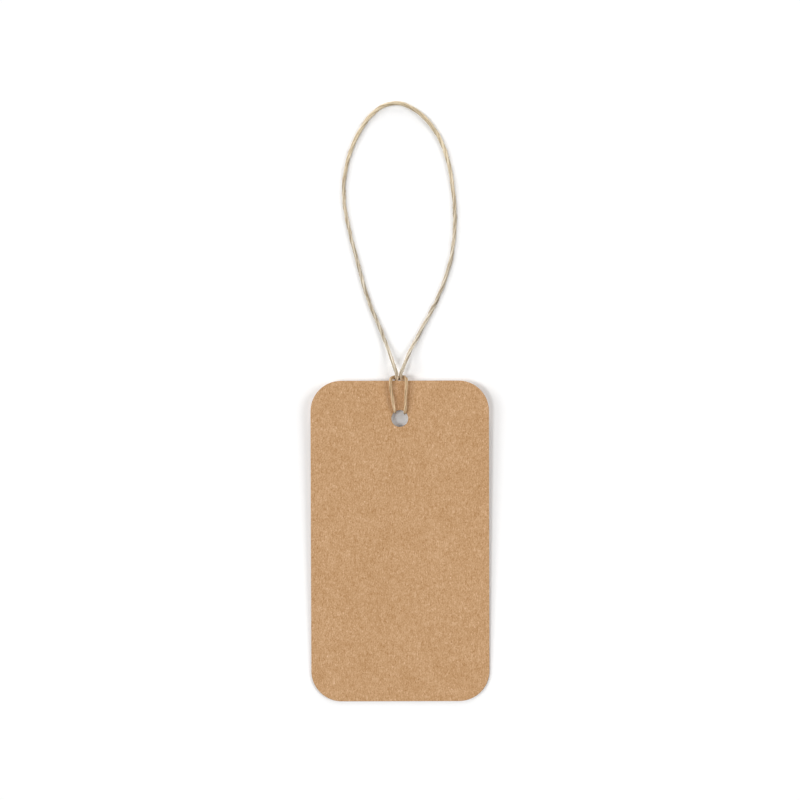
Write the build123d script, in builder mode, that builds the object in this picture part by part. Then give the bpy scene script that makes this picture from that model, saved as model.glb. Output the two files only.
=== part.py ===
"""Gift tag: a die-cut kraft card with a twine loop girth-hitched through its punched hole.

Frame: +X across the card, +Y from the card towards the loop, +Z up out of the written face.
The origin is under the middle of the card, on the surface that the tag lies on.
"""

import os
from math import asin, cos, degrees, pi, radians, sin, sqrt, tan

from build123d import *

os.makedirs("parts", exist_ok=True)

# Card, in millimetres
card_width = 50.0
card_length = 90.0
card_thickness = 0.5
corner_radius = 8.5
edge_rounding = 0.1
hole_diameter = 4.7
hole_setback = 10.6

# Twine, with its clearances to the card and the table
twine_diameter = 1.2
twine_sides = 12
twine_gap = 0.08
table_gap = 0.02

# Girth hitch: places across the card, where it sits in the hole and how far its bight reaches
left_leg_x = -2.6
right_leg_x = 1.85
left_strand_x = -1.0
right_strand_x = 0.4
left_hole_angle = 38.0
right_hole_angle = 56.0
bight_reach = 1.5
shoulder_reach = 0.86
leg_start = 1.8
leg_middle = 4.4
edge_approach = 1.4

# Reef knot behind the card
knot_gap = 0.22
knot_x = 2.5
knot_below_edge = 4.0
half_twist = 1.25
knot_bight_reach = 1.45
knot_lead = 0.45

# Hinge between the hitch and the free loop
hinge_reach = 3.9
hinge_room = 0.5

# Heights of the twine's centre over the back face of the card
twine_radius = twine_diameter / 2
front_level = card_thickness + twine_gap + twine_radius
back_level = -(twine_gap + twine_radius)
knot_pitch = twine_diameter + knot_gap
lower_level = back_level - knot_pitch
under_level = back_level - twine_radius
over_level = under_level + twine_diameter + 2 * twine_gap
exit_level = over_level + twine_radius / 2

# Where the two strands go through the hole, touching the upper half of its rim
hole_radius = hole_diameter / 2
hole_y = -hole_setback
twine_ring = hole_radius - twine_gap - twine_radius
left_hole_x = -twine_ring * sin(radians(left_hole_angle))
left_turn_y = hole_y + twine_ring * cos(radians(left_hole_angle))
right_hole_x = twine_ring * sin(radians(right_hole_angle))
right_turn_y = hole_y + twine_ring * cos(radians(right_hole_angle))

# The card leans on its lower edge and on the twine behind the hole
rest_depth = twine_radius - lower_level + table_gap
lean = asin(rest_depth / (card_length + right_turn_y))
top_edge_y = (card_length * cos(lean) + card_thickness * sin(lean)) / 2

# Origin in the middle of the card's top edge, on its back face
card_plane = Plane(
    origin=(0, top_edge_y, card_length * sin(lean)),
    x_dir=(1, 0, 0),
    z_dir=(0, -sin(lean), cos(lean)),
)


def on_card(x, y, z):
    """A point across, above the top edge and out of the back face of the card."""
    return card_plane.from_local_coords(Vector(x, y, z))


def on_knot(along, across, out):
    """A point from the knot's centre, along and across the card and out of its back face."""
    middle = (back_level + lower_level) / 2
    return on_card(knot_x + across, along - knot_below_edge, middle + out)


def on_table(x, y, height):
    """A point across, past the card's top edge, with the twine's underside at a height."""
    return Vector(x, top_edge_y + y, height + table_gap + twine_radius)


def corner_radii(points):
    """The largest arc that fits at each corner of a route."""
    radii = []
    for before, corner, after in zip(points, points[1:], points[2:]):
        arriving = corner - before
        leaving = after - corner
        half_turn = radians(arriving.get_angle(leaving)) / 2
        radii.append(0.45 * min(arriving.length, leaving.length) / tan(half_turn))
    return radii


def print_tube(name, part, line):
    """Print a tube's tightest arcs, and its volume beside its section times its length."""
    section_area = twine_sides * twine_radius**2 * sin(2 * pi / twine_sides) / 2
    length = sum(edge.length for edge in line.edges())
    radii = sorted(edge.radius for edge in line.edges().filter_by(GeomType.CIRCLE))
    print(f"{name}: length {length:.1f}, volume {part.volume:.2f},", end=" ")
    print(f"section times length {section_area * length:.2f},", end=" ")
    print("tightest radii", [round(radius, 2) for radius in radii[:6]])


# Card: rounded corners, a punched hole and a front edge that the die has rolled over
with BuildPart() as tag_card:
    with BuildSketch(card_plane):
        with Locations((0, -card_length / 2)):
            RectangleRounded(card_width, card_length, corner_radius)
        with Locations((0, hole_y)):
            Circle(hole_radius, mode=Mode.SUBTRACT)
    extrude(amount=card_thickness)
    front_face = tag_card.faces().sort_by(SortBy.AREA)[-2:].sort_by(Axis.Z)[-1]
    fillet(front_face.edges(), radius=edge_rounding)

# Reef knot: each end makes a bight, and twists half round the other end on both sides of it
strand = knot_pitch / 2
diagonal = strand * sqrt(0.5)
knot_reach = half_twist + knot_bight_reach
near_side = [
    (-knot_reach, -strand, -strand),
    (-half_twist, -strand, 0),
    (-half_twist / 2, -2 * strand + diagonal, diagonal),
    (0, -2 * strand, strand),
    (half_twist / 2, -2 * strand - diagonal, diagonal),
    (half_twist, -3 * strand, 0),
    (half_twist + 0.65 * knot_bight_reach, -2.6 * strand, -0.75 * strand),
    (knot_reach, -1.2 * strand, -strand),
]
far_side = [(along, -across, out) for along, across, out in reversed(near_side)]
knot_start = (-knot_reach - knot_lead, -strand, -strand)

# Hitch: up the back, over the bight, through the hole and round the top edge
exit_y = hinge_reach - twine_radius - hinge_room
hitch_points = [
    on_card(left_strand_x - 0.2, exit_y, exit_level),
    on_card(left_strand_x, bight_reach + 0.3, over_level),
    on_card(left_strand_x + 0.1, 0.45, back_level - 0.03),
    on_card(left_strand_x, -edge_approach, back_level),
    on_card(left_strand_x - 0.1, left_turn_y + leg_middle, back_level - 0.02),
    on_card(left_hole_x, left_turn_y + leg_start, back_level),
    on_card(left_hole_x, left_turn_y, back_level),
    on_card(left_hole_x, left_turn_y, front_level),
    on_card(left_hole_x - 0.35, left_turn_y + leg_start, front_level + 0.02),
    on_card(left_leg_x + 0.45, left_turn_y + leg_middle, front_level),
    on_card(left_leg_x, -edge_approach, front_level),
    on_card(left_leg_x - 0.05, 0.22, front_level + 0.22),
    on_card(left_leg_x + 0.05, shoulder_reach, 0.36),
    on_card(left_leg_x + 0.4, shoulder_reach, under_level - 0.05),
    on_card(left_strand_x - 0.35, shoulder_reach + 0.24, under_level - 0.5),
    on_card((left_strand_x + right_strand_x) / 2, bight_reach, under_level - 0.5),
    on_card(right_strand_x + 0.35, shoulder_reach + 0.24, under_level - 0.6),
    on_card(right_leg_x - 0.15, shoulder_reach, under_level - 0.25),
    on_card(right_leg_x + 0.1, shoulder_reach, 0.36),
    on_card(right_leg_x + 0.05, 0.22, front_level + 0.22),
    on_card(right_leg_x, -edge_approach, front_level),
    on_card(right_leg_x - 0.15, right_turn_y + leg_middle, front_level),
    on_card(right_hole_x + 0.15, right_turn_y + leg_start, front_level + 0.02),
    on_card(right_hole_x, right_turn_y, front_level),
    on_card(right_hole_x, right_turn_y, lower_level),
    on_knot(-knot_reach - 1.9 * knot_lead, -strand, -strand),
    on_knot(*knot_start),
]
with BuildPart() as twine_hitch:
    with BuildLine() as hitch_line:
        FilletPolyline(hitch_points, radius=corner_radii(hitch_points))
    with BuildSketch(Plane(origin=hitch_line.line @ 0, z_dir=hitch_line.line % 0)):
        RegularPolygon(twine_radius, twine_sides)
    sweep()
print_tube("hitch", twine_hitch.part, hitch_line.line)

# Knot, hole end: from the hitch into its bight and out to a cut end
hole_end_points = [on_knot(*point) for point in [knot_start] + near_side + far_side] + [
    on_knot(-knot_reach - 1.4, strand + 0.5, 0.1 - strand),
    on_knot(-knot_reach - 2.6, strand + 1.5, 0.25 - strand),
]
with BuildPart() as knot_hole_end:
    with BuildLine() as hole_end_line:
        FilletPolyline(hole_end_points, radius=corner_radii(hole_end_points))
    with BuildSketch(Plane(origin=hole_end_line.line @ 0, z_dir=hole_end_line.line % 0)):
        RegularPolygon(twine_radius, twine_sides)
    sweep()
print_tube("knot, hole end", knot_hole_end.part, hole_end_line.line)

# Knot, loop end: from the loop over the bight, into its own bight and out to a cut end
mirrored = [(-along, across, -out) for along, across, out in near_side + far_side[:-1]]
loop_end_points = [
    on_card(right_strand_x + 0.3, exit_y, exit_level),
    on_card(right_strand_x, bight_reach + 0.3, over_level),
    on_card(right_strand_x + 0.1, 0.45, back_level - 0.03),
] + [on_knot(*point) for point in mirrored] + [
    on_knot(knot_reach - 0.2, strand + 0.25, strand),
    on_knot(knot_reach + 0.2, strand + 1.5, strand),
    on_knot(knot_reach - 0.1, strand + 2.9, strand - 0.02),
]
with BuildPart() as knot_loop_end:
    with BuildLine() as loop_end_line:
        FilletPolyline(loop_end_points, radius=corner_radii(loop_end_points))
    with BuildSketch(Plane(origin=loop_end_line.line @ 0, z_dir=loop_end_line.line % 0)):
        RegularPolygon(twine_radius, twine_sides)
    sweep()
print_tube("knot, loop end", knot_loop_end.part, loop_end_line.line)

# Free loop: down from the hitch to the table, and round in a long drop shape
loop_points = [
    on_card(right_strand_x + 0.7, hinge_reach, exit_level),
    on_table(2.5, 7.5, 2.1),
    on_table(6.35, 14.8, 0.9),
    on_table(10.8, 23.0, 0.2),
    on_table(14.2, 32.2, 0),
    on_table(15.65, 41.2, 0),
    on_table(15.6, 50.2, 0),
    on_table(14.3, 60.0, 0),
    on_table(11.65, 68.4, 0),
    on_table(5.85, 75.6, 0),
    on_table(-1.0, 78.7, 0),
    on_table(-7.6, 75.6, 0),
    on_table(-12.7, 67.5, 0),
    on_table(-15.3, 59.1, 0),
    on_table(-15.75, 50.6, 0),
    on_table(-13.9, 41.4, 0),
    on_table(-11.5, 32.4, 0),
    on_table(-9.2, 23.6, 0.25),
    on_table(-5.65, 15.2, 0.95),
    on_table(-2.6, 7.4, 2.1),
    on_card(left_strand_x - 0.5, hinge_reach, exit_level),
]
with BuildPart() as twine_loop:
    with BuildLine() as loop_line:
        FilletPolyline(loop_points, radius=corner_radii(loop_points))
    with BuildSketch(Plane(origin=loop_line.line @ 0, z_dir=loop_line.line % 0)):
        RegularPolygon(twine_radius, twine_sides)
    sweep()
print_tube("loop", twine_loop.part, loop_line.line)

hinge = on_card(0, hinge_reach, exit_level)
print(f"lean {degrees(lean):.3f} degrees, hinge at y {hinge.Y:.3f}, z {hinge.Z:.3f}")

tag_card.part.label = "tag_card"
export_step(tag_card.part, "parts/tag_card.step")
twine_hitch.part.label = "twine_hitch"
export_step(twine_hitch.part, "parts/twine_hitch.step")
knot_hole_end.part.label = "knot_hole_end"
export_step(knot_hole_end.part, "parts/knot_hole_end.step")
knot_loop_end.part.label = "knot_loop_end"
export_step(knot_loop_end.part, "parts/knot_loop_end.step")
twine_loop.part.label = "twine_loop"
export_step(twine_loop.part, "parts/twine_loop.step")
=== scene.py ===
# %% [markdown]
# # A kraft gift tag on twine
# The real thing is a die-cut piece of brown kraft board with one punched hole.
# A length of jute twine is doubled, its bight goes through the hole and round the card's top edge,
# and the two strands pass over it into an open loop: a girth hitch.
# The card comes ready from the solids. What they can't show is made here: the twine's plies and loose
# fibres, the grain of the board, the table and the light.

# %% Load the solids
import random
from math import asin, cos, degrees, exp, pi, radians, sin, sqrt

import bmesh
import bpy
from mathutils import Matrix, Vector, noise


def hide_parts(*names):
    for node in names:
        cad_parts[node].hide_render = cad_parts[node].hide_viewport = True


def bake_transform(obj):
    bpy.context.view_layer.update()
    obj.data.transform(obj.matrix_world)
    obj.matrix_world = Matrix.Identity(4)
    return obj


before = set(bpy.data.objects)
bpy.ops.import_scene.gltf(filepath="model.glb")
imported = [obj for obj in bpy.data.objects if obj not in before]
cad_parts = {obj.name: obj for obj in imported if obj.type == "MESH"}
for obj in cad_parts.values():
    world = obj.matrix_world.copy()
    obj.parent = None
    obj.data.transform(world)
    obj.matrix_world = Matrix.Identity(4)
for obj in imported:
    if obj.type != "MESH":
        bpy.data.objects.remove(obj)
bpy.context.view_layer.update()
scene = bpy.context.scene
MM = 0.001
print("nodes:", sorted(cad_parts))

# %% [markdown]
# ## The camera
# The tag lies flat and is seen straight from above. A long lens from far away keeps its sides parallel,
# so one number, the pixels to a millimetre, decides how far away the camera stands.

# %% Camera over the tag
PIXELS = 800
PIXELS_PER_MM = 3.566
LENS = 200.0
SENSOR = 36.0
AIM = (0.08 * MM, 39.57 * MM, 2 * MM)
TURN = radians(-0.15)
distance = PIXELS / PIXELS_PER_MM * LENS / SENSOR * MM
camera_data = bpy.data.cameras.new("overhead_camera")
camera_data.lens = LENS
camera_data.sensor_width = SENSOR
camera = bpy.data.objects.new("overhead_camera", camera_data)
camera.location = (AIM[0], AIM[1], AIM[2] + distance)
camera.rotation_euler.z = TURN
scene.collection.objects.link(camera)
scene.camera = camera
print(f"camera {distance:.3f} m above the card")

# %% [markdown]
# ## The line of the twine
# Twine is limp, so its shape is all in the line that it follows: tail, knot, loop, hitch, knot, tail.
# The points below are close to those of the solid tubes, given on the leaning card, round the knot
# behind it and on the table. At the hitch some are moved, because soft twine goes where tubes can't:
# the strands lie closer together, and the legs are pressed to the hole's rim and arch a little off
# the card. A smooth spline with these points as its control points is drawn in to every turn, as twine
# is when it is pulled tight.

# %% Sizes that the twine follows
card_length = 90.0
card_thickness = 0.5
hole_diameter = 4.7
hole_y = -10.6
twine_radius = 0.6
twine_gap = 0.08
table_gap = 0.02
knot_pitch = 1.42

front_level = card_thickness + twine_gap + twine_radius
back_level = -(twine_gap + twine_radius)
lower_level = back_level - knot_pitch
under_level = back_level - twine_radius
over_level = under_level + 2 * twine_radius + 2 * twine_gap
exit_level = over_level + twine_radius / 2

leg_level = front_level + 0.6
knot_level = (back_level + lower_level) / 2
knot_x = 2.5
knot_y = -4.0

# The card leans on its lower edge and on the tube that comes out behind the hole, at the right.
tube_ring = hole_diameter / 2 - twine_gap - twine_radius
tube_angle = radians(56)
tube_y = hole_y + tube_ring * cos(tube_angle)
lean = asin((twine_radius - lower_level + table_gap) / (card_length + tube_y))
top_edge_y = (card_length * cos(lean) + card_thickness * sin(lean)) / 2
print(f"the card leans by {degrees(lean):.2f} degrees")

# Pulled tight, the twine is pressed thin against the hole's rim.
pressed_outwards = 0.45
rim_ring = tube_ring + pressed_outwards
left_hole_angle = radians(38)
right_hole_angle = radians(43)
left_hole_x = -rim_ring * sin(left_hole_angle)
left_turn_y = hole_y + rim_ring * cos(left_hole_angle)
right_hole_x = rim_ring * sin(right_hole_angle)
right_turn_y = hole_y + rim_ring * cos(right_hole_angle)

# %% Places on the card, in the knot and on the table
def on_card(x, y, z):
    """A point across the card, above its top edge and up from its back face."""
    along = top_edge_y + y * cos(lean) - z * sin(lean)
    height = card_length * sin(lean) + y * sin(lean) + z * cos(lean)
    return Vector((x, along, height)) * MM


def on_knot(along, across, out):
    """A point from the middle of the knot behind the card."""
    return on_card(knot_x + across, knot_y + along, knot_level + out)


def on_table(x, y, height):
    """A point past the card's top edge, with the twine's underside at a height."""
    return Vector((x, top_edge_y + y, height + table_gap + twine_radius)) * MM


# %% Points of the twine
strand = knot_pitch / 2
diagonal = strand * sqrt(0.5)
half_twist = 1.25
knot_reach = 2.7
knot_near = [
    (-knot_reach, -strand, -strand),
    (-half_twist, -strand, 0),
    (-half_twist / 2, -2 * strand + diagonal, diagonal),
    (0, -2 * strand, strand),
    (half_twist / 2, -2 * strand - diagonal, diagonal),
    (half_twist, -3 * strand, 0),
    (2.2, -2.6 * strand, -0.75 * strand),
    (knot_reach, -1.2 * strand, -strand),
]
knot_far = [(along, -across, out) for along, across, out in reversed(knot_near)]
knot_mirrored = [(-along, across, -out) for along, across, out in knot_near + knot_far[:-1]]

hole_end = [on_knot(*place) for place in knot_near + knot_far] + [
    on_knot(-knot_reach - 1.4, strand + 0.5, 0.1 - strand),
    on_knot(-knot_reach - 2.6, strand + 1.5, 0.25 - strand),
]
loop_end = [
    on_card(0.6, 2.8, exit_level),
    on_card(0.3, 1.8, over_level),
    on_card(0.36, 0.45, back_level - 0.03),
] + [on_knot(*place) for place in knot_mirrored] + [
    on_knot(knot_reach - 0.2, strand + 0.25, strand),
    on_knot(knot_reach + 0.2, strand + 1.5, strand),
    on_knot(knot_reach - 0.1, strand + 2.9, strand - 0.02),
]
hitch = [
    on_card(-1.1, 2.8, exit_level),
    on_card(-0.85, 1.8, over_level),
    on_card(-0.8, 0.45, back_level - 0.03),
    on_card(-1.0, -1.4, back_level),
    on_card(-1.1, left_turn_y + 4.4, back_level - 0.02),
    on_card(left_hole_x, left_turn_y + 1.8, back_level),
    on_card(left_hole_x, left_turn_y, back_level),
    on_card(left_hole_x, left_turn_y, front_level),
    on_card(left_hole_x - 0.35, left_turn_y + 1.8, leg_level - 0.3),
    on_card(-2.15, left_turn_y + 4.4, leg_level),
    on_card(-2.6, -1.4, leg_level),
    on_card(-2.65, 0.15, leg_level - 0.1),
    on_card(-2.35, 0.65, 0.6),
    on_card(-1.95, 0.8, -0.6),
    on_card(-1.3, 0.95, under_level - 0.35),
    on_card(-0.7, 0.75, under_level - 0.65),
    on_card(-0.2, 0.7, under_level - 0.65),
    on_card(0.35, 0.75, under_level - 0.65),
    on_card(0.95, 0.92, under_level - 0.35),
    on_card(1.45, 0.76, -0.6),
    on_card(1.75, 0.65, 0.6),
    on_card(1.9, 0.15, leg_level - 0.1),
    on_card(1.85, -1.4, leg_level),
    on_card(1.7, right_turn_y + 4.4, leg_level),
    on_card(right_hole_x + 0.15, right_turn_y + 1.8, leg_level - 0.3),
    on_card(right_hole_x, right_turn_y, front_level),
    on_card(right_hole_x, right_turn_y - 0.05, 0.2),
    on_card(right_hole_x, right_turn_y, lower_level),
    on_knot(-knot_reach - 0.85, -strand, -strand),
]
loop = [
    on_card(1.1, 3.9, exit_level),
    on_table(2.5, 7.5, 1.0),
    on_table(6.35, 14.8, 0.1),
    on_table(10.8, 23.0, 0),
    on_table(14.2, 32.2, 0),
    on_table(15.65, 41.2, 0),
    on_table(15.6, 50.2, 0),
    on_table(14.3, 60.0, 0),
    on_table(11.65, 68.4, 0.05),
    on_table(5.85, 75.6, 0.1),
    on_table(-1.0, 78.7, 0.1),
    on_table(-7.6, 75.6, 0.1),
    on_table(-12.7, 67.5, 0.05),
    on_table(-15.3, 59.1, 0),
    on_table(-15.75, 50.6, 0),
    on_table(-13.9, 41.4, 0),
    on_table(-11.5, 32.4, 0),
    on_table(-9.2, 23.6, 0),
    on_table(-5.65, 15.2, 0.1),
    on_table(-2.6, 7.4, 1.0),
    on_card(-1.5, 3.9, exit_level),
]
twine_points = loop_end[::-1] + loop + hitch + hole_end
print(len(twine_points), "points from one cut end to the other")

# %% Smooth line through the points
route_data = bpy.data.curves.new("twine_route", "CURVE")
route_data.dimensions = "3D"
spline = route_data.splines.new("NURBS")
spline.points.add(len(twine_points) - 1)
for spline_point, place in zip(spline.points, twine_points):
    spline_point.co = (*place, 1)
spline.order_u = 3
spline.use_endpoint_u = True
spline.resolution_u = 48
route = bpy.data.objects.new("twine_route", route_data)
scene.collection.objects.link(route)
route_mesh = bpy.data.meshes.new_from_object(route)

STEP = 0.17 * MM
line = [route_mesh.vertices[0].co.copy()]
for vertex in route_mesh.vertices:
    if (vertex.co - line[-1]).length >= STEP:
        line.append(vertex.co.copy())
bpy.data.objects.remove(route)
bpy.data.meshes.remove(route_mesh)

run = [0.0]
for before, after in zip(line, line[1:]):
    run.append(run[-1] + (after - before).length)

# %% [markdown]
# ## Three plies
# Jute twine is spun: three plies turn slowly round each other, and the grooves between them catch the
# shade. A texture on a plain tube would give stripes but a smooth outline. So each ply is a tube of its
# own on a helix round the line. A direction carried along the line without twisting keeps the helix even.
# The twine opens a little in the loop's wide bend and on the bight. It is thinner in the hitch, and
# pressed thin where it is pulled over the hole's rim.

# %% Directions across the line
tangents = []
for index in range(len(line)):
    ahead = line[min(index + 1, len(line) - 1)]
    behind = line[max(index - 1, 0)]
    tangents.append((ahead - behind).normalized())

across = [tangents[0].orthogonal().normalized()]
for before, after in zip(tangents, tangents[1:]):
    carried = across[-1].copy()
    carried.rotate(before.rotation_difference(after))
    across.append((carried - after * carried.dot(after)).normalized())

# %% How full the twine is along its run
HITCH_FULLNESS = 0.82
LOOP_FULLNESS = 0.87
UNEVENNESS = 0.14
LOOP_OPENING = 0.16
LOOP_BEND = 20 * MM
BIGHT_OPENING = 0.2
BIGHT_X = -0.25
BIGHT_HALF_WIDTH = 1.7
RIM_PRESSING = 0.45

free_run = [length for place, length in zip(line, run) if place.y > (top_edge_y + 1.2) * MM]
loop_middle = (free_run[0] + free_run[-1]) / 2
half_loop = (free_run[-1] - free_run[0]) / 2
over_edge = (top_edge_y + 0.3) * MM
past_strand = free_run[-1] + 10 * MM
hitch_run = [(place, length) for place, length in zip(line, run) if length > past_strand]
bight_run = [length for place, length in hitch_run if place.y > over_edge]
bight_middle = (bight_run[0] + bight_run[-1]) / 2
rim_turns = [on_card(left_hole_x, left_turn_y, 0.25), on_card(right_hole_x, right_turn_y, 0.25)]
fullness = []
for place, length in zip(line, run):
    nearest = min((place - rim).length for rim in rim_turns) / MM
    drawn = HITCH_FULLNESS if place.y < top_edge_y * MM else LOOP_FULLNESS
    uneven = UNEVENNESS * noise.noise(Vector((place.x, place.y, 0)) / MM * 0.05)
    opened = LOOP_OPENING * exp(-(((length - loop_middle) / LOOP_BEND) ** 2))
    if length > free_run[-1] and place.y > over_edge:
        opened = BIGHT_OPENING * exp(-(((place.x / MM - BIGHT_X) / BIGHT_HALF_WIDTH) ** 4))
    fullness.append(drawn + uneven + opened - RIM_PRESSING * exp(-(nearest**2)))
print(f"free loop {2 * half_loop / MM:.1f} mm, bight {(bight_run[-1] - bight_run[0]) / MM:.1f} mm")

# %% Plies round the line
PLIES = 3
PLY_SIDES = 12
PLY_OFFSET = 0.2 * MM
PLY_RADIUS = 0.38 * MM
PITCH = 18 * MM
WANDER = 1.6
SWELL = 0.16


def ply_centre(index, ply):
    """The middle of a ply, and its direction out of the twine."""
    wander = WANDER * noise.noise(Vector((run[index] / MM * 0.11, 3.1, 0.7)))
    turn = 2 * pi * (run[index] / PITCH + ply / PLIES) + wander
    outward = Matrix.Rotation(turn, 3, tangents[index]) @ across[index]
    return line[index] + outward * PLY_OFFSET * fullness[index], outward


def add_ply(mesh, uv_layer, ply):
    """Roll a long strip of faces into a tube round the ply's middle."""
    centres = [ply_centre(index, ply) for index in range(len(line))]
    steps = len(line) - 1
    strip = bmesh.ops.create_grid(mesh, x_segments=steps, y_segments=PLY_SIDES, size=1)["verts"]
    lay = {}
    for vertex in strip:
        index = round((vertex.co.x + 1) / 2 * steps)
        side = round((vertex.co.y + 1) / 2 * PLY_SIDES)
        centre, outward = centres[index]
        ahead = centres[min(index + 1, steps)][0] - centres[max(index - 1, 0)][0]
        turn = 2 * pi * side / PLY_SIDES - pi
        swell = 1 + SWELL * noise.noise(Vector((run[index] / MM * 0.25, ply * 9.0, 0.2)))
        spoke = Matrix.Rotation(turn, 3, ahead.normalized()) @ outward
        vertex.co = centre + spoke * PLY_RADIUS * swell * fullness[index]
        lay[vertex] = (run[index] / MM, side / PLY_SIDES + ply)
    for face in {face for vertex in strip for face in vertex.link_faces}:
        for corner in face.loops:
            corner[uv_layer].uv = lay[corner.vert]


twine_bm = bmesh.new()
lay_layer = twine_bm.loops.layers.uv.new("lay")
for ply in range(PLIES):
    add_ply(twine_bm, lay_layer, ply)
bmesh.ops.remove_doubles(twine_bm, verts=twine_bm.verts[:], dist=0.001 * MM)
open_edges = [edge for edge in twine_bm.edges if edge.is_boundary]
bmesh.ops.holes_fill(twine_bm, edges=open_edges, sides=0)
bmesh.ops.recalc_face_normals(twine_bm, faces=twine_bm.faces[:])
for face in twine_bm.faces:
    face.smooth = len(face.verts) == 4
twine_mesh = bpy.data.meshes.new("jute_twine")
twine_bm.to_mesh(twine_mesh)
twine_bm.free()
twine = bpy.data.objects.new("jute_twine", twine_mesh)
scene.collection.objects.link(twine)
print(f"twine: {len(twine_mesh.polygons)} faces in {PLIES} plies")

# %% [markdown]
# ## Loose fibres
# Jute is hairy: short fibres lift off the plies all along the twine and soften its outline. Each one is
# a thin spline that leaves the surface at a low angle and curls away. They are drawn as one curve object
# with a round bevel, and turned into a mesh.

# %% Fibres along the twine
FIBRE_TRIES = 700
FIBRE_RADIUS = 0.022 * MM
rng = random.Random(11)


def clear_of_card(place):
    """Whether a place is above the table, and outside the board or in its hole."""
    x, y, z = (value / MM for value in place)
    up = (y - top_edge_y) * cos(lean) + (z - card_length * sin(lean)) * sin(lean)
    out = -(y - top_edge_y) * sin(lean) + (z - card_length * sin(lean)) * cos(lean)
    beside = up > 0.05 or (x**2 + (up - hole_y) ** 2) ** 0.5 < hole_diameter / 2 - 0.05
    return z > 0.01 and (beside or not -0.03 < out < card_thickness + 0.03)


fibre_data = bpy.data.curves.new("loose_fibres", "CURVE")
fibre_data.dimensions = "3D"
fibre_data.bevel_depth = FIBRE_RADIUS
fibre_data.bevel_resolution = 0
fibre_data.resolution_u = 3
fibre_count = 0
for _ in range(FIBRE_TRIES):
    index = rng.randrange(4, len(line) - 4)
    direction = tangents[index] * rng.choice((-1, 1))
    outward = Matrix.Rotation(rng.uniform(0, 2 * pi), 3, tangents[index]) @ across[index]
    sideways = direction.cross(outward)
    reach = rng.uniform(0.5, 1.9) * MM
    lift = rng.uniform(0.05, 0.5) * rng.uniform(0.3, 1.0) * reach
    drift = rng.uniform(-0.35, 0.35) * reach
    root = line[index] + outward * (twine_radius - 0.08) * MM
    places = [
        root - direction * 0.2 * reach - outward * 0.08 * MM,
        root + direction * 0.25 * reach + outward * 0.15 * lift,
        root + direction * 0.6 * reach + outward * 0.5 * lift + sideways * 0.3 * drift,
        root + direction * 0.9 * reach + outward * lift + sideways * drift,
    ]
    if all(clear_of_card(place) for place in places):
        fibre = fibre_data.splines.new("NURBS")
        fibre.points.add(len(places) - 1)
        for fibre_point, place, thickness in zip(fibre.points, places, (1, 1, 0.8, 0.3)):
            fibre_point.co = (*place, 1)
            fibre_point.radius = thickness
        fibre.order_u = 3
        fibre.use_endpoint_u = True
        fibre_count += 1
fibre_curve = bpy.data.objects.new("fibre_curve", fibre_data)
scene.collection.objects.link(fibre_curve)
fibre_mesh = bpy.data.meshes.new_from_object(fibre_curve)
bpy.data.objects.remove(fibre_curve)
fibres = bpy.data.objects.new("loose_fibres", fibre_mesh)
scene.collection.objects.link(fibres)
print(f"{fibre_count} loose fibres, {len(fibre_mesh.polygons)} faces")

# %% [markdown]
# ## Shader maths as expressions
# The finishes below are sums and products of patterns. A small class wraps a socket of a material, so
# that these can be written as they would be on paper: each operator adds a Math node, and one method adds
# any other node.

# %% A value in a material
class Shade:
    """A socket of a material's node tree that can be used in expressions."""

    def __init__(self, tree, socket=None):
        self.tree = tree
        self.socket = socket

    def node(self, kind, inputs=None, settings=None, stops=None, output=0):
        """Add a node, set it up, fill its sockets and return one of its outputs."""
        made = self.tree.nodes.new(kind)
        for name, setting in (settings or {}).items():
            setattr(made, name, setting)
        if stops:
            ramp = made.color_ramp
            while len(ramp.elements) < len(stops):
                ramp.elements.new(0.5)
            for element, (position, colour) in zip(ramp.elements, stops):
                element.position = position
                element.color = (*colour, 1)
        for name, value in (inputs or {}).items():
            if isinstance(value, Shade):
                self.tree.links.new(value.socket, made.inputs[name])
            else:
                made.inputs[name].default_value = value
        return Shade(self.tree, made.outputs[output])

    def maths(self, operation, *values):
        return self.node("ShaderNodeMath", dict(enumerate(values)), {"operation": operation})

    def ranged(self, low, high, at_low, at_high):
        """A value between two levels while this one goes from low to high."""
        return self.node("ShaderNodeMapRange", {0: self, 1: low, 2: high, 3: at_low, 4: at_high})

    def __add__(self, other):
        return self.maths("ADD", self, other)

    def __sub__(self, other):
        return self.maths("SUBTRACT", self, other)

    def __rsub__(self, other):
        return self.maths("SUBTRACT", other, self)

    def __mul__(self, other):
        return self.maths("MULTIPLY", self, other)

    __radd__ = __add__
    __rmul__ = __mul__


def linear(red, green, blue):
    """A colour given in the 0 to 255 numbers of a picture, as a shader takes it."""
    return tuple(
        value / 12.92 if value <= 0.04045 else ((value + 0.055) / 1.055) ** 2.4
        for value in (red / 255, green / 255, blue / 255)
    )


def finish(name, rough):
    """A new material with its shader, and an empty value to start expressions from."""
    material = bpy.data.materials.new(name)
    material.use_nodes = True
    shader = material.node_tree.nodes["Principled BSDF"]
    shader.inputs["Roughness"].default_value = rough
    shader.inputs["Specular IOR Level"].default_value = 0.2
    return material, shader, Shade(material.node_tree)


# %% [markdown]
# ## Kraft board
# Unbleached kraft is warm brown with a fine grain: short pale and dark fibres that lie mostly along the
# sheet, a few flecks of bark and straw, and faint clouds where the pulp is thicker. Each is a noise of
# its own size, in real units from the Object coordinates. The cut edge shows the board's darker core.

# %% Kraft finish
kraft, kraft_shader, mix = finish("kraft_board", 0.85)
place = mix.node("ShaderNodeTexCoord", output="Object")
normal = mix.node("ShaderNodeTexCoord", output="Normal")
facing = mix.node("ShaderNodeSeparateXYZ", {0: normal}, output="Z")


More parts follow.
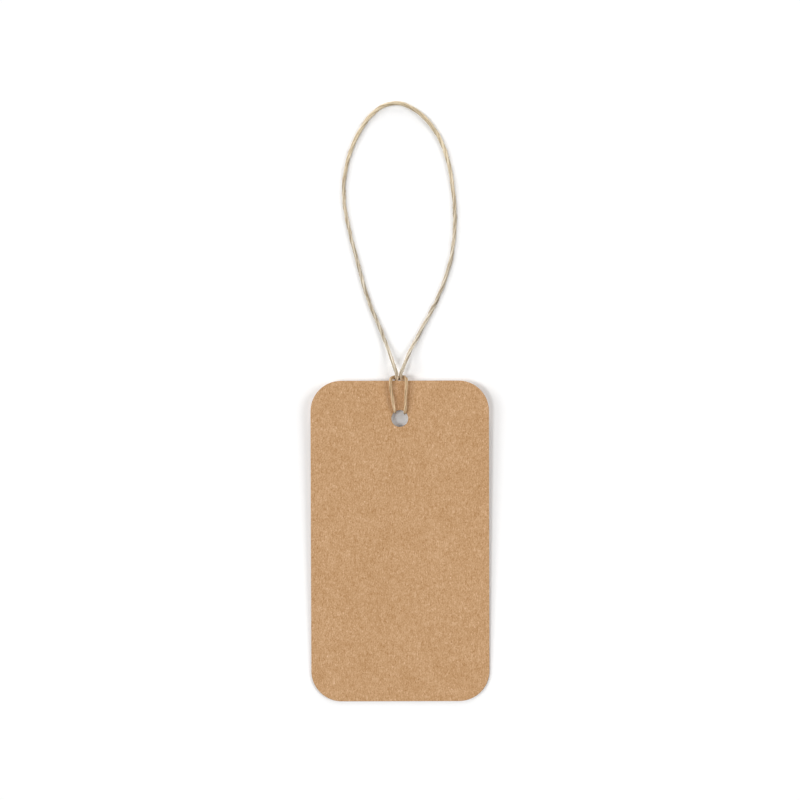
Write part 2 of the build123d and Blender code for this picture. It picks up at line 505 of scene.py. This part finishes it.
def pattern(size, detail=2.0, rough=0.5):
    """Noise with grains of a size in millimetres, from about -0.5 to 0.5."""
    grain = mix.node(
        "ShaderNodeTexNoise",
        {"Vector": place, "Scale": 1 / (size * MM), "Detail": detail, "Roughness": rough},
    )
    return grain - 0.5


def fibre_pattern(turn, width, length, shift):
    """Noise drawn out into fibres along a direction of the sheet, in millimetres."""
    drawn = mix.node(
        "ShaderNodeMapping",
        {
            "Vector": place,
            "Location": (shift, shift * 0.7, 0),
            "Rotation": (0, 0, radians(turn)),
            "Scale": (1 / (width * MM), 1 / (length * MM), 1 / (width * MM)),
        },
    )
    return mix.node("ShaderNodeTexNoise", {"Vector": drawn, "Scale": 1.0, "Detail": 1.0}) - 0.5


clouds = pattern(8.0, 1.0)
blotches = pattern(1.3)
grain = pattern(0.36, 3.0, 0.6)
long_fibres = fibre_pattern(2, 0.28, 2.2, 67.0)
upright_fibres = fibre_pattern(4, 0.22, 0.6, 3.0)
slanted_fibres = fibre_pattern(-38, 0.2, 0.5, 17.0)
crossed_fibres = fibre_pattern(82, 0.2, 0.7, 29.0)
fibre_tone = 0.24 * long_fibres + 0.36 * upright_fibres + 0.25 * slanted_fibres + 0.3 * crossed_fibres
bark = fibre_pattern(20, 0.3, 0.6, 41.0)
straw = fibre_pattern(-15, 0.25, 0.7, 53.0)
pale_flecks = straw.maths("MAXIMUM", straw - 0.24, 0.0)
dark_flecks = bark.maths("MAXIMUM", bark - 0.24, 0.0)
flecks = 6.0 * pale_flecks - 9.0 * dark_flecks
tone = 0.5 + 0.09 * clouds + 0.19 * blotches + 0.56 * grain + fibre_tone + flecks
board_colour = mix.node(
    "ShaderNodeValToRGB",
    {"Fac": tone},
    stops=[
        (0.0, linear(140, 90, 36)),
        (0.25, linear(169, 123, 75)),
        (0.5, linear(198, 156, 113)),
        (0.75, linear(227, 189, 152)),
        (1.0, linear(252, 222, 192)),
    ],
)
edge = facing.maths("ABSOLUTE", facing).ranged(0.35, 0.85, 1.0, 0.0)
edged_colour = mix.node(
    "ShaderNodeMix",
    {0: edge * 0.55, 6: board_colour, 7: (*linear(150, 108, 70), 1)},
    {"data_type": "RGBA"},
    output=2,
)
relief = mix.node("ShaderNodeBump", {"Strength": 0.25, "Distance": 0.03 * MM, "Height": tone})
kraft.node_tree.links.new(edged_colour.socket, kraft_shader.inputs["Base Color"])
kraft.node_tree.links.new(relief.socket, kraft_shader.inputs["Normal"])
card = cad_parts["tag_card"]
card.data.materials.clear()
card.data.materials.append(kraft)
print("kraft finish:", len(kraft.node_tree.nodes), "nodes")

# %% [markdown]
# ## Jute
# The plies are bundles of fibres, from straw to brown. The pattern follows the plies: the UV map "lay"
# holds the run along the twine in millimetres and the turn round the ply, and noise drawn out along the
# run makes the fibres. The turn also says how deep in a groove a point is: there the colour is darker,
# a painted shade in the grooves between the plies. The run says where on the twine a point is: it is
# more golden round the middle of the loop, and lighter there as painted light on the loop's top. It is
# a deeper brown in the hitch and the knot, where it is drawn tight, and lighter there as a painted
# highlight on the legs. On the bight it is darkest, a painted shade.

# %% Jute finish
jute, jute_shader, mix = finish("jute_fibre", 0.8)
lay = mix.node("ShaderNodeUVMap", settings={"uv_map": "lay"})
turn = mix.node("ShaderNodeSeparateXYZ", {0: lay}, output="Y")


def jute_streaks(along, round_ply, shift):
    """Noise drawn out along the plies."""
    drawn = mix.node(
        "ShaderNodeMapping",
        {"Vector": lay, "Location": (shift, shift * 1.3, 0), "Scale": (along, round_ply, 1)},
    )
    return mix.node("ShaderNodeTexNoise", {"Vector": drawn, "Scale": 1.0, "Detail": 2.0}) - 0.5


def away_from(middle, none_at, all_at):
    """A share that grows between two distances from a place on the run, in millimetres."""
    past_middle = mix.node("ShaderNodeSeparateXYZ", {0: lay}, output="X") - middle / MM
    return past_middle.maths("ABSOLUTE", past_middle).ranged(none_at, all_at, 0.0, 1.0)


def tinted(colour, share, tint):
    """A colour with a tint laid over a share of it."""
    return mix.node(
        "ShaderNodeMix",
        {0: share, 6: colour, 7: (*tint, 1)},
        {"data_type": "RGBA", "blend_type": "MULTIPLY"},
        output=2,
    )


# Warmer round the middle of the loop, and lighter there: a painted light on the loop's top.
golden_and_painted_light = away_from(loop_middle, 52.0, 18.0)
# A deeper brown in the hitch and the knot, and a lighter tone there: a painted highlight on the legs.
hitch_tint_and_painted_light = away_from(loop_middle, half_loop / MM - 1.5, half_loop / MM + 2.5)
# Painted shade: the bight is darkened.
painted_bight_shade = away_from(bight_middle, 5.5, 3.5)
streaks = jute_streaks(0.3, 9.0, 2.0)
specks = jute_streaks(1.1, 14.0, 31.0)
bands = jute_streaks(0.12, 1.6, 11.0)
# Painted shade: the inward side of each ply is darker, in the grooves between the plies.
painted_groove_shade = 0.5 + 0.5 * turn.maths("COSINE", turn * (2 * pi))
ply_tone = streaks + 0.5 * specks + 0.9 * bands - 0.6 * painted_groove_shade
jute_tone = 0.65 + 0.08 * golden_and_painted_light + 0.08 * hitch_tint_and_painted_light + ply_tone
bare_colour = mix.node(
    "ShaderNodeValToRGB",
    {"Fac": jute_tone},
    stops=[
        (0.0, linear(92, 79, 64)),
        (0.3, linear(160, 146, 124)),
        (0.55, linear(209, 196, 174)),
        (0.8, linear(237, 226, 206)),
        (1.0, linear(250, 243, 229)),
    ],
)
golden_colour = tinted(bare_colour, golden_and_painted_light, (1.0, 0.94, 0.82))
tight_colour = tinted(golden_colour, hitch_tint_and_painted_light, (1.0, 0.82, 0.63))
# The bight's painted shade darkens the colour here.
jute_colour = tinted(tight_colour, painted_bight_shade, (0.66, 0.6, 0.54))
jute_relief = mix.node("ShaderNodeBump", {"Strength": 0.5, "Distance": 0.05 * MM, "Height": streaks})
jute.node_tree.links.new(jute_colour.socket, jute_shader.inputs["Base Color"])
jute.node_tree.links.new(jute_relief.socket, jute_shader.inputs["Normal"])
twine_mesh.materials.append(jute)

stray, stray_shader, _ = finish("stray_jute", 0.8)
stray_shader.inputs["Base Color"].default_value = (*linear(206, 178, 138), 1)
fibre_mesh.materials.clear()
fibre_mesh.materials.append(stray)
print("jute finish:", len(jute.node_tree.nodes), "nodes")

# %% [markdown]
# ## Table and light
# The tag lies on a white table in a bright room with four soft lamps. Low ones at the left, the right
# and the top draw a soft shadow round the card and beside the twine, and one high on the left reaches
# down into the hole. Their levels and the room's add up to one, so a colour renders about as it is
# written. The table is lifted a little to the eye alone, so that only real shade stays grey and no light
# is added to the tag.

# %% White table
table_bm = bmesh.new()
bmesh.ops.create_grid(table_bm, x_segments=1, y_segments=1, size=3.0)
table_mesh = bpy.data.meshes.new("white_table")
table_bm.to_mesh(table_mesh)
table_bm.free()
table = bpy.data.objects.new("white_table", table_mesh)
scene.collection.objects.link(table)

white, white_shader, mix = finish("white_paint", 0.9)
camera_ray = mix.node("ShaderNodeLightPath", output="Is Camera Ray")
glossy_ray = mix.node("ShaderNodeLightPath", output="Is Glossy Ray")
glass_ray = mix.node("ShaderNodeLightPath", output="Is Transmission Ray")
seen = camera_ray + glossy_ray + glass_ray
white_shader.inputs["Base Color"].default_value = (0.92, 0.92, 0.92, 1)
white_shader.inputs["Emission Strength"].default_value = 0.1
white.node_tree.links.new(seen.socket, white_shader.inputs["Emission Color"])
table_mesh.materials.append(white)

# %% Soft light
scene.view_settings.view_transform = "Standard"
world = bpy.data.worlds.new("bright_room")
scene.world = world
world.use_nodes = True
sky = world.node_tree.nodes["Background"]
sky.inputs["Color"].default_value = (1, 1, 1, 1)
sky.inputs["Strength"].default_value = 0.09


def soft_lamp(name, towards, spread, level):
    """A far light as wide as its spread, which adds a level of brightness to a flat white sheet."""
    lamp_data = bpy.data.lights.new(name, "SUN")
    lamp_data.angle = radians(spread)
    lamp_data.energy = level * pi / Vector(towards).normalized().z
    lamp = bpy.data.objects.new(name, lamp_data)
    lamp.rotation_euler = Vector(towards).to_track_quat("Z", "Y").to_euler()
    scene.collection.objects.link(lamp)


soft_lamp("left_softbox", (-1.0, 0.15, 0.85), 25, 0.21)
soft_lamp("right_softbox", (1.0, 0.25, 1.1), 30, 0.26)
soft_lamp("top_softbox", (0.0, 1.0, 0.45), 28, 0.15)
soft_lamp("overhead_softbox", (-0.44, -0.14, 1.0), 16, 0.29)
print("lamps:", sorted(lamp.name for lamp in bpy.data.lights))

# %% [markdown]
# ## One piece of twine for four tubes
# The hitch and the knot stay on the card, and the loop swings. The twine is one mesh that stands for
# the four tubes of the solids, which are hidden here.

# %% Hand over
for piece in (twine, fibres):
    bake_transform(piece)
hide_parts("twine_hitch", "knot_hole_end", "knot_loop_end", "twine_loop")
on_card(0, hole_y, back_level)
